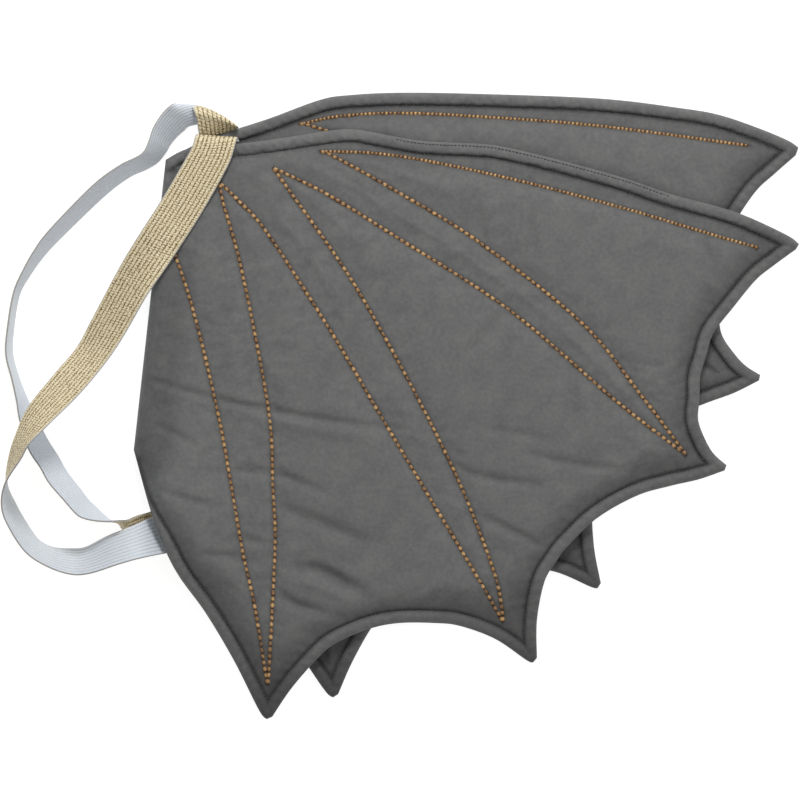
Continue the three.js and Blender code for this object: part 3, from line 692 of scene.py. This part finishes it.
def stitch_mesh(name, lines, sample, stitch, skip=None):
    """Plump stitches along lines, each sunk at both ends, with a painted highlight and a random tone at each
    point.
    """
    pitch, length, width, depth = stitch
    random = np.random.default_rng(STITCH_SEED)
    vertices, faces, painted_highlight_and_tone = [], [], []
    for line in lines:
        spots = even_steps(line, pitch)
        middles = (spots[:-1] + spots[1:]) / 2
        runs = np.diff(spots, axis=0)
        runs /= np.linalg.norm(runs, axis=1)[:, None]
        heights = sample(middles)
        for middle, run, height in zip(middles, runs, heights):
            jitter = random.normal(0, 1, 4)
            tone = min(MOST_TONE, max(LEAST_TONE, MIDDLE_TONE + TONE_SPREAD * jitter[3]))
            if skip is not None and skip(middle):
                continue
            side = np.array([-run[1], run[0]])
            slant = STITCH_SLANT + SLANT_SPREAD * jitter[0]
            base = len(vertices)
            for ring in range(STITCH_RINGS):
                t = ring / (STITCH_RINGS - 1) * 2 - 1
                swell = max(LEAST_SWELL, (1 - abs(BLUNTNESS * t) ** 3) ** 0.5)
                centre = middle + run * (t * length / 2) + side * (slant * t * width / 2)
                lift = depth * (swell * (1.0 + DEPTH_SPREAD * jitter[1]) - STITCH_SINK)
                for k in range(STITCH_SIDES):
                    angle = 2 * math.pi * k / STITCH_SIDES
                    wide = math.cos(angle) * width / 2 * swell * (1 + WIDTH_SPREAD * jitter[2])
                    out = centre + side * wide
                    vertices.append((out[0], out[1], height + lift + math.sin(angle) * depth * swell))
                    # Painted highlight: lighter on the stitch's top and middle, darker towards its ends,
                    # times the stitch's random tone
                    painted_highlight_and_tone.append(tone * (1 - abs(t) ** 1.4) * (0.5 + 0.5 * max(0.0, math.sin(angle))))
            for ring in range(STITCH_RINGS - 1):
                for k in range(STITCH_SIDES):
                    here = base + ring * STITCH_SIDES + k
                    beside = base + ring * STITCH_SIDES + (k + 1) % STITCH_SIDES
                    faces.append((here, beside, beside + STITCH_SIDES, here + STITCH_SIDES))
            faces.append(tuple(base + k for k in reversed(range(STITCH_SIDES))))
            last = base + (STITCH_RINGS - 1) * STITCH_SIDES
            faces.append(tuple(last + k for k in range(STITCH_SIDES)))
    return shaded_by(mesh_object(name, vertices, faces), "painted_highlight_and_tone", painted_highlight_and_tone)


LINE_SECTION = [(-0.5, -0.35), (-0.5, 0.0), (-0.25, 0.22), (0.25, 0.22), (0.5, 0.0), (0.5, -0.35)]


def gap_shade_line(name, lines, sample, width, height, step=1.6):
    """A low closed dark strip along each line, lying on the cloth: painted shade in the gaps between
    stitches.
    """
    vertices, faces = [], []
    sides = len(LINE_SECTION)
    for line in lines:
        spots = even_steps(line, step)
        run = np.gradient(spots, axis=0)
        run /= np.linalg.norm(run, axis=1)[:, None]
        across = np.column_stack([-run[:, 1], run[:, 0]])
        levels = sample(spots)
        base = len(vertices)
        for spot, side, level in zip(spots, across, levels):
            for out, up in LINE_SECTION:
                at = spot + side * (out * width)
                vertices.append((at[0], at[1], level + up * height))
        for ring in range(len(spots) - 1):
            for k in range(sides):
                here = base + ring * sides + k
                beside = base + ring * sides + (k + 1) % sides
                faces.append((here, here + sides, beside + sides, beside))
        faces.append(tuple(base + k for k in range(sides)))
        last = base + (len(spots) - 1) * sides
        faces.append(tuple(last + k for k in reversed(range(sides))))
    return mesh_object(name, vertices, faces)


def new_material(name, colour, roughness):
    material = bpy.data.materials.new(name)
    material.use_nodes = True
    shader = material.node_tree.nodes["Principled BSDF"]
    shader.inputs["Base Color"].default_value = (*colour, 1)
    shader.inputs["Roughness"].default_value = roughness
    return material, Graph(material.node_tree), shader


class Graph:
    """Short ways to add the nodes that the materials here share."""

    def __init__(self, tree):
        self.nodes, self.links = tree.nodes, tree.links

    def feed(self, value, socket):
        if isinstance(value, bpy.types.NodeSocket):
            self.links.new(value, socket)
        else:
            socket.default_value = value

    def maths(self, operation, first, second=0.0):
        node = self.nodes.new("ShaderNodeMath")
        node.operation = operation
        self.feed(first, node.inputs[0])
        self.feed(second, node.inputs[1])
        return node.outputs["Value"]

    def spots(self):
        return self.nodes.new("ShaderNodeTexCoord").outputs["Object"]

    def along_and_across(self):
        split = self.nodes.new("ShaderNodeSeparateXYZ")
        self.feed(self.nodes.new("ShaderNodeTexCoord").outputs["UV"], split.inputs["Vector"])
        return split.outputs["X"], split.outputs["Y"]

    def stored(self, name):
        node = self.nodes.new("ShaderNodeAttribute")
        node.attribute_name = name
        return node.outputs["Fac"]

    def noise(self, coordinates, scale, detail):
        node = self.nodes.new("ShaderNodeTexNoise")
        node.inputs["Scale"].default_value = scale
        node.inputs["Detail"].default_value = detail
        self.feed(coordinates, node.inputs["Vector"])
        return node.outputs["Fac"]

    def ramp(self, value, stops):
        node = self.nodes.new("ShaderNodeValToRGB")
        first, second = node.color_ramp.elements
        first.position, first.color = stops[0][0], (*stops[0][1], 1)
        second.position, second.color = stops[-1][0], (*stops[-1][1], 1)
        for position, colour in stops[1:-1]:
            node.color_ramp.elements.new(position).color = (*colour, 1)
        self.feed(value, node.inputs["Fac"])
        return node.outputs["Color"]

    def mix(self, share, first, second, blend="MIX"):
        node = self.nodes.new("ShaderNodeMix")
        node.data_type = "RGBA"
        node.blend_type = blend
        self.feed(share, node.inputs["Factor"])
        colours = [socket for socket in node.inputs if socket.type == "RGBA"]
        self.feed(first, colours[0])
        self.feed(second, colours[1])
        return next(socket for socket in node.outputs if socket.type == "RGBA")

    def bump(self, shader, height, strength, distance):
        node = self.nodes.new("ShaderNodeBump")
        node.inputs["Strength"].default_value = strength
        node.inputs["Distance"].default_value = distance
        self.feed(height, node.inputs["Height"])
        self.feed(node.outputs["Normal"], shader.inputs["Normal"])


def cotton():
    material, graph, shader = new_material("grey_quilted_cotton", (0.12, 0.12, 0.118), 0.92)
    spots = graph.spots()
    fibres = graph.noise(spots, 1500, 3)
    flecks = graph.noise(spots, 420, 3)
    mottle = graph.noise(spots, 90, 4)
    mixed = graph.maths("ADD", graph.maths("MULTIPLY", flecks, 0.55), graph.maths("MULTIPLY", mottle, 0.45))
    cloth = graph.ramp(mixed, [(0.35, (0.110, 0.111, 0.111)), (0.65, (0.146, 0.146, 0.143))])
    # The painted shade stored on the cloth's points darkens its colour
    shade = graph.maths("SUBTRACT", 1.0, graph.maths("MULTIPLY", graph.stored("painted_shade_amount"), 0.72))
    graph.feed(graph.mix(1.0, cloth, shade, "MULTIPLY"), shader.inputs["Base Color"])
    shader.inputs["Sheen Weight"].default_value = 0.18
    shader.inputs["Sheen Roughness"].default_value = 0.5
    shader.inputs["Specular IOR Level"].default_value = 0.25
    graph.bump(shader, graph.maths("ADD", fibres, flecks), 0.3, 0.0002)
    return material


def rib_pattern(graph, knit):
    """How raised an elastic's face is, from 0 in the grooves to 1 on the ribs, and its edge's share."""
    along, across = graph.along_and_across()
    rows = graph.maths("MULTIPLY", across, float(ELASTIC_RIBS))
    row = graph.maths("FLOOR", rows)
    middle = graph.maths("ABSOLUTE", graph.maths("SUBTRACT", graph.maths("FRACT", rows), 0.5))
    rib = graph.maths("SUBTRACT", 1.0, graph.maths("POWER", graph.maths("MULTIPLY", middle, 2.0), 2.2))
    turns = graph.maths("MULTIPLY", along, math.tau / KNIT_PITCH)
    phase = graph.maths("ADD", turns, graph.maths("MULTIPLY", row, 2.1))
    wave = graph.maths("MULTIPLY", graph.maths("SINE", phase), knit)
    edge = graph.maths("ABSOLUTE", graph.maths("SUBTRACT", across, 0.5))
    return graph.maths("ADD", rib, wave), edge


def gold_elastic():
    material, graph, shader = new_material("gold_glitter_elastic", (0.56, 0.46, 0.26), 0.5)
    raised, edge = rib_pattern(graph, 0.30)
    grain = graph.noise(graph.spots(), 1100, 3)
    speck = graph.maths("MULTIPLY", graph.maths("SUBTRACT", grain, 0.5), 3.4)
    level = graph.maths("ADD", raised, speck)
    gold = graph.ramp(level, [
        (0.0, (0.140, 0.088, 0.030)), (0.30, (0.350, 0.258, 0.125)),
        (0.60, (0.500, 0.410, 0.238)), (1.0, (0.710, 0.630, 0.430)),
    ])
    selvedge_and_edge_shade = graph.maths("GREATER_THAN", edge, 0.474)
    pale = (0.50, 0.46, 0.39, 1)
    graph.feed(graph.mix(selvedge_and_edge_shade, gold, pale), shader.inputs["Base Color"])
    shader.inputs["Metallic"].default_value = 0.15
    shader.inputs["Specular IOR Level"].default_value = 0.55
    graph.bump(shader, level, 0.5, 0.0004)
    return material


def pale_elastic():
    material, graph, shader = new_material("pale_elastic", (0.55, 0.60, 0.66), 0.62)
    raised, edge = rib_pattern(graph, 0.06)
    grain = graph.maths("SUBTRACT", graph.noise(graph.spots(), 1300, 2), 0.5)
    level = graph.maths("ADD", raised, grain)
    # Darker in the grooves between the ribs: painted shade, with a random grain
    face = graph.ramp(level, [
        (0.0, (0.365, 0.405, 0.445)), (0.5, (0.55, 0.59, 0.635)), (1.0, (0.60, 0.635, 0.68)),
    ])
    # A thin dark line along both edges of the pale face: painted shade
    selvedge_and_edge_shade = graph.maths("GREATER_THAN", edge, 0.486)
    graph.feed(graph.mix(selvedge_and_edge_shade, face, (0.30, 0.30, 0.30, 1)), shader.inputs["Base Color"])
    shader.inputs["Sheen Weight"].default_value = 0.15
    graph.bump(shader, level, 0.3, 0.0003)
    return material


def bronze_thread():
    material, graph, shader = new_material("bronze_thread", (0.40, 0.22, 0.08), 0.45)
    grain = graph.maths("SUBTRACT", graph.noise(graph.spots(), 900, 2), 0.5)
    # The stitches' painted highlight and random tone set how light the thread is
    level = graph.maths("ADD", graph.stored("painted_highlight_and_tone"), graph.maths("MULTIPLY", grain, 0.9))
    thread = graph.ramp(level, [
        (0.10, (0.046, 0.019, 0.005)), (0.48, (0.200, 0.098, 0.028)), (1.0, (0.520, 0.315, 0.122)),
    ])
    graph.feed(thread, shader.inputs["Base Color"])
    shader.inputs["Specular IOR Level"].default_value = 0.6
    graph.bump(shader, grain, 0.3, 0.0002)
    return material


def plain_thread(name, colour):
    material, graph, shader = new_material(name, colour, 0.7)
    graph.bump(shader, graph.noise(graph.spots(), 1200, 2), 0.4, 0.0002)
    return material


def dress(obj, material):
    obj.data.materials.append(material)
    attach(obj, "root")
    return obj


# Camera straight above the middle of the picture, far off, with a long lens. Lengths are in metres,
# but the sensor and the picture's middle, which is counted from ORIGIN, are in millimetres.
PICTURE_WIDTH = 0.480
CAMERA_HEIGHT = 9.0
SENSOR = 36.0
PICTURE_MIDDLE = np.array([159.6, 191.4])
FLOOR_HALF, FLOOR_DROP, FLOOR_GLOW = 3.0, 0.0004, 0.85
WORLD_GLOW = 0.54
LIGHTS = [
    Light("key", (0.05, 1.25, 1.05), 0.5, 16.5),
    Light("fill", (1.2, 0.2, 1.8), 1.4, 4),
]


def add_camera():
    data = bpy.data.cameras.new("camera")
    data.sensor_width = SENSOR
    data.lens = SENSOR * CAMERA_HEIGHT / PICTURE_WIDTH
    data.clip_end = 40
    camera = bpy.data.objects.new("camera", data)
    spot = (PICTURE_MIDDLE + ORIGIN) * MM
    camera.location = (spot[0], spot[1], CAMERA_HEIGHT)
    bpy.context.collection.objects.link(camera)
    bpy.context.scene.camera = camera


def add_light(name, location, size, power):
    data = bpy.data.lights.new(name, "AREA")
    data.shape = "DISK"
    data.size = size
    data.energy = power
    light = bpy.data.objects.new(name, data)
    light.location = location
    x, y, z = location
    light.rotation_euler = (math.atan2(math.hypot(x, y), z), 0, math.atan2(y, x) + math.pi / 2)
    bpy.context.collection.objects.link(light)


def add_stage():
    mesh = bpy.data.meshes.new("floor")
    signs = ((-1, -1), (1, -1), (1, 1), (-1, 1))
    corners = [(x * FLOOR_HALF, y * FLOOR_HALF, -FLOOR_DROP) for x, y in signs]
    mesh.from_pydata(corners, [], [(0, 1, 2, 3)])
    floor = bpy.data.objects.new("floor", mesh)
    bpy.context.collection.objects.link(floor)
    material, _, shader = new_material("light_table", (0.35, 0.35, 0.35), 0.9)
    shader.inputs["Specular IOR Level"].default_value = 0.0
    shader.inputs["Emission Color"].default_value = (1.0, 1.0, 1.0, 1)
    shader.inputs["Emission Strength"].default_value = FLOOR_GLOW
    floor.data.materials.append(material)
    world = bpy.context.scene.world or bpy.data.worlds.new("world")
    bpy.context.scene.world = world
    world.use_nodes = True
    background = world.node_tree.nodes["Background"]
    background.inputs["Color"].default_value = (1.0, 1.0, 1.0, 1)
    background.inputs["Strength"].default_value = WORLD_GLOW
    for light in LIGHTS:
        add_light(*light)
    bpy.context.scene.view_settings.view_transform = "Standard"


def closed_sheet(name, top, bottom, triangles):
    """One closed mesh between an upper and a lower face over the same triangles."""
    size = len(top)
    edges = {}
    for a, b, c in triangles:
        for pair in ((a, b), (b, c), (c, a)):
            if edges.pop((pair[1], pair[0]), None) is None:
                edges[pair] = True
    walls = [(a, a + size, b + size, b) for a, b in edges]
    faces = [tuple(t) for t in triangles] + [(c + size, b + size, a + size) for a, b, c in triangles] + walls
    return mesh_object(name, np.vstack([top, bottom]), faces)


def make_wings(cloth):
    lower = Wing(turned, LOWER_TOP_EDGE, LOWER_TOP_BONE, LOWER_GRID, True)
    upper = Wing(place, UPPER_TOP_EDGE, UPPER_TOP_BONE, UPPER_GRID, False)
    past = np.where(inside(upper.points, lower.ring), 0, nearest(upper.points, lower.ring, True)[0])
    resting = UPPER_FLOOR - (UPPER_FLOOR - LAYER_GAP) * smooth(past, DROOP_START, DROOP_END)
    held = smooth(upper.from_spine, 0, SPINE_HOLD)
    from_lift = np.linalg.norm(upper.points - place(LIFT_CENTRE), axis=1)
    lift = HEM_LIFT * np.exp(-((from_lift / HEM_LIFT_REACH) ** 2))
    floor = UPPER_FLOOR + (resting - UPPER_FLOOR) * held + held * lift
    faces = {}
    for name, wing, level in (("lower", lower, None), ("upper", upper, floor)):
        top, bottom = wing.heights(level)
        blown = simulated(wing, top)
        if wing.lower:
            covered = inside(blown[:, :2], upper.ring)
            covered |= nearest(blown[:, :2], upper.ring, True)[0] < COVER_MARGIN
            blown[:, 2] = np.where(covered, np.minimum(blown[:, 2], QUILT), blown[:, 2])
        blown[:, 2] = np.maximum(blown[:, 2], bottom + LEAST_CLOTH)
        faces[name] = (wing, blown, np.column_stack([wing.points, bottom]))
    # The cloth is pressed flat where the upper strap lies on it
    middles, _, _, _ = strap_line(UPPER_ROUTE[PRESSING_PART], 4)
    wing, blown, _ = faces["upper"]
    under = nearest(blown[:, :2], middles[:, :2])[0] < STRAP_WIDTH / 2 + STRAP_PRESS
    blown[:, 2] = np.where(under, np.minimum(blown[:, 2], STACK - STRAP_PRESS_GAP), blown[:, 2])
    made = {}
    for name, (wing, blown, bottom) in faces.items():
        obj = closed_sheet(f"{name}_wing_cloth", blown, bottom, wing.triangles)
        # Each point of both faces carries the cloth's painted shade for its material to read
        shaded_by(obj, "painted_shade_amount", np.tile(wing.painted_shade(), 2))
        dress(obj, cloth)
        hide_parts(f"{name}_wing")
        made[name] = (wing, blown)
    return made


TRUE_RIM, SPINE_CLEAR = 0.97, 1.5


def rim_lines(wing):
    """The stretches of the rim's topstitch, without the spots that cross at a tip."""
    closed = np.vstack([wing.ring, wing.ring[:1]])
    width = wing.rim_width(closed)
    groove = offset_line(closed, width[:, None])
    keep = (nearest(groove, wing.ring, True)[0] > width * TRUE_RIM) & inside(groove, wing.ring)
    keep &= nearest(groove, wing.spine)[0] > RIM * SPINE_CLEAR
    runs = np.split(groove, np.nonzero(~keep)[0])
    return [run[1:] for run in runs if len(run) > 4]


def add_stitches(made, bone_thread, gap_shade_strip, edge_thread):
    upper_ring = made["upper"][0].ring
    for name, (wing, blown) in made.items():
        sample = surface_sampler(blown)

        def hidden(spot, lower=wing.lower):
            if not lower:
                return False
            near = spot[None, :]
            return bool(inside(near, upper_ring)[0]) and nearest(near, upper_ring, True)[0][0] > HIDDEN_PAST

        def unseen(spot, lower=wing.lower):
            return lower and (spot[1] < LOWER_BONES_FROM * WING_HEIGHT or hidden(spot))

        beads = stitch_mesh(f"{name}_top_bone_stitches", wing.bones[:1], sample, TOP_BONE_STITCH, hidden)
        dress(beads, bone_thread)
        beads = stitch_mesh(f"{name}_bone_stitches", wing.bones[1:], sample, BONE_STITCH, unseen)
        dress(beads, bone_thread)
        shown = wing.bones[:1] if wing.lower else wing.bones
        # A dark strip under the bones' stitches: painted shade in the gaps between stitches
        under = gap_shade_line(f"{name}_gap_shade_strip", shown, sample, GAP_SHADE_WIDTH, GAP_SHADE_HEIGHT)
        dress(under, gap_shade_strip)
        rim = stitch_mesh(f"{name}_rim_stitches", rim_lines(wing), sample, RIM_STITCH, hidden)
        dress(rim, edge_thread)
    wing, blown = made["upper"]
    top_line = along([place(s) for s in UPPER_TOP_EDGE[CLOSED_PART]], 2.0)
    line = offset_line(top_line, CLOSING_INSET)
    closing = stitch_mesh("closing_stitches", [line], surface_sampler(blown), CLOSING_STITCH)
    dress(closing, edge_thread)


def add_straps(gold, pale):
    rows = (("upper", UPPER_ROUTE, -1, None), ("lower", LOWER_ROUTE, 1, LOWER_FOLD_BOW))
    for name, route, gold_side, bow in rows:
        half = STRAP_THICK / 2
        inner = gold_side * GOLD_INNER
        front, length = ribbon(f"{name}_strap_gold", route, inner, gold_side * half, GOLD_RIB, bow)
        inner = gold_side * PALE_INNER
        back, _ = ribbon(f"{name}_strap_pale", route, inner, -gold_side * half, PALE_RIB, bow)
        dress(front, gold)
        dress(back, pale)
        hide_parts(f"{name}_strap")
        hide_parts(f"{name}_strap")
        print("strap", name, "length mm", round(length, 1))


add_camera()
wing_faces = make_wings(cotton())
add_stitches(
    wing_faces,
    bronze_thread(),
    # The dark brown of the painted shade strip under the bone stitches
    plain_thread("painted_gap_shade", (0.060, 0.026, 0.008)),
    plain_thread("grey_thread", (0.040, 0.041, 0.042)),
)
add_straps(gold_elastic(), pale_elastic())
add_stage()
